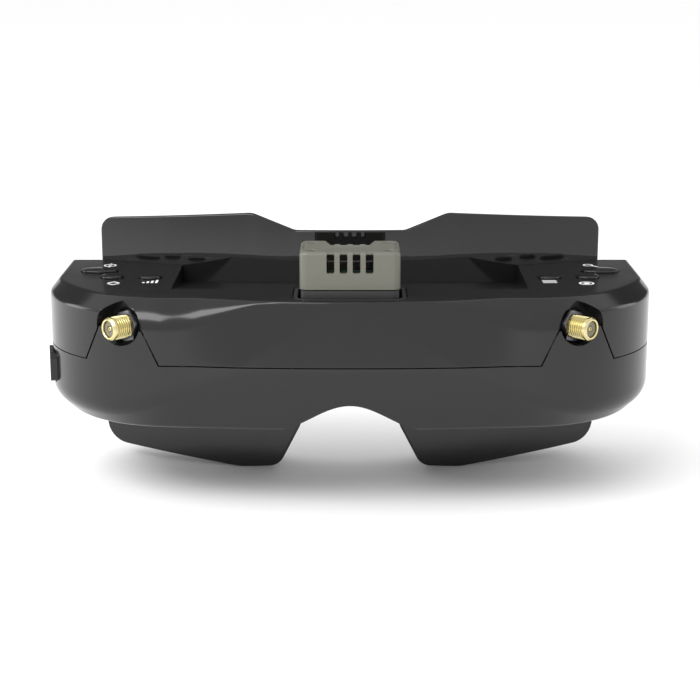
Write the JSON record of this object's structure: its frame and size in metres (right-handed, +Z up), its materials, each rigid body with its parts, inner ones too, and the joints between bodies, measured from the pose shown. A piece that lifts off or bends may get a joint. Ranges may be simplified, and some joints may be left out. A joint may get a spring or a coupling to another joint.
{
  "type": "fpv goggles",
  "caption": "Wide wrap-around video goggles with a curved faceplate, nose arch, plug-in receiver module, angled antenna jacks and thumb controls on the top.",
  "frame": {"origin": "middle of the base of the object's box", "axes": "+Z up as worn; the front faces -Y and the wearer's face is on the +Y side; +X is to the right of someone looking at the front, which is the wearer's left. Left and right in the names are as seen from the front."},
  "size_m": [0.1722, 0.0785, 0.076],
  "materials": {
    "shell_black": "satin black plastic, fine-grained",
    "inner_black": "matt black plastic",
    "module_grey": "satin warm grey plastic",
    "rubber_black": "smooth black rubber",
    "foam_black": "black foam with a knitted face",
    "brass": "bright gold-plated brass",
    "black_metal": "blackened steel",
    "steel": "plain steel",
    "insulator": "matt tan plastic",
    "board_green": "green circuit board",
    "glass_black": "dark display glass",
    "lens": "clear optical plastic"
  },
  "bodies": {
    "housing": {"antenna_contact_left": "brass", "antenna_contact_right": "brass", "antenna_insulator_left": "insulator", "antenna_insulator_right": "insulator", "antenna_jack_left": "brass", "antenna_jack_right": "brass", "antenna_nut_left": "black_metal", "antenna_nut_right": "black_metal", "av_jack": "inner_black", "card_slot": "steel", "case_screw_1": "steel", "case_screw_2": "steel", "case_screw_3": "steel", "case_screw_4": "steel", "control_board_left": "board_green", "control_board_right": "board_green", "dc_jack": "inner_black", "face_foam": "foam_black", "faceplate": "shell_black", "faceplate_screw_1": "steel", "faceplate_screw_2": "steel", "faceplate_screw_3": "steel", "faceplate_screw_4": "steel", "fan_frame": "inner_black", "hdmi_port": "steel", "ipd_rail_left": "steel", "ipd_rail_right": "steel", "lower_shell": "shell_black", "main_board": "board_green", "module_bay": "inner_black", "power_switch": "inner_black", "rear_frame": "inner_black", "strap_loop_left": "inner_black", "strap_loop_right": "inner_black", "upper_shell": "shell_black"},
    "receiver_module": {"module_board": "board_green", "module_carrier": "inner_black", "module_cover": "module_grey", "module_plug": "inner_black", "module_screw_1": "steel", "module_screw_2": "steel", "module_screw_3": "steel", "module_screw_4": "steel"},
    "power_switch_cap": {"power_button": "rubber_black"},
    "tracker_cap": {"tracker_button": "rubber_black"},
    "channel_cap": {"channel_button": "rubber_black"},
    "band_cap": {"band_button": "rubber_black"},
    "search_cap": {"search_button": "rubber_black"},
    "record_cap": {"record_button": "rubber_black"},
    "mode_cap": {"mode_button": "rubber_black"},
    "optics_left": {"eyepiece_left": "inner_black", "eye_lens_left": "lens", "display_left": "glass_black", "ipd_knob_left": "inner_black"},
    "optics_right": {"eyepiece_right": "inner_black", "eye_lens_right": "lens", "display_right": "glass_black", "ipd_knob_right": "inner_black"},
    "fan_wheel": {"fan_rotor": "inner_black"}
  },
  "joints": [
    {"name": "receiver_module", "type": "slide", "parent": "housing", "child": "receiver_module", "axis": [0, 0, 1], "range_m": [0, 0.024]},
    {"name": "power_button", "type": "slide", "parent": "housing", "child": "power_switch_cap", "axis": [0.9848, 0.1736, 0], "range_m": [0, 0.0007], "stiffness_N_per_m": 800, "springref_m": -0.0005},
    {"name": "tracker_button", "type": "slide", "parent": "housing", "child": "tracker_cap", "axis": [0, 0, -1], "range_m": [0, 0.0008], "stiffness_N_per_m": 800, "springref_m": -0.0005},
    {"name": "channel_button", "type": "slide", "parent": "housing", "child": "channel_cap", "axis": [0, 0, -1], "range_m": [0, 0.0008], "stiffness_N_per_m": 800, "springref_m": -0.0005},
    {"name": "band_button", "type": "slide", "parent": "housing", "child": "band_cap", "axis": [0, 0, -1], "range_m": [0, 0.0008], "stiffness_N_per_m": 800, "springref_m": -0.0005},
    {"name": "search_button", "type": "slide", "parent": "housing", "child": "search_cap", "axis": [0, 0, -1], "range_m": [0, 0.0008], "stiffness_N_per_m": 800, "springref_m": -0.0005},
    {"name": "record_button", "type": "slide", "parent": "housing", "child": "record_cap", "axis": [0, 0, -1], "range_m": [0, 0.0008], "stiffness_N_per_m": 800, "springref_m": -0.0005},
    {"name": "mode_button", "type": "slide", "parent": "housing", "child": "mode_cap", "axis": [0, 0, -1], "range_m": [0, 0.0008], "stiffness_N_per_m": 800, "springref_m": -0.0005},
    {"name": "ipd_left", "type": "slide", "parent": "housing", "child": "optics_left", "axis": [1, 0, 0], "range_m": [-0.0025, 0.0025]},
    {"name": "ipd_right", "type": "slide", "parent": "housing", "child": "optics_right", "axis": [1, 0, 0], "range_m": [-0.0025, 0.0025]},
    {"name": "fan_spin", "type": "hinge", "parent": "housing", "child": "fan_wheel", "pos_m": [0, -0.0067, 0.0436], "axis": [0, 1, 0], "continuous": true}
  ]
}
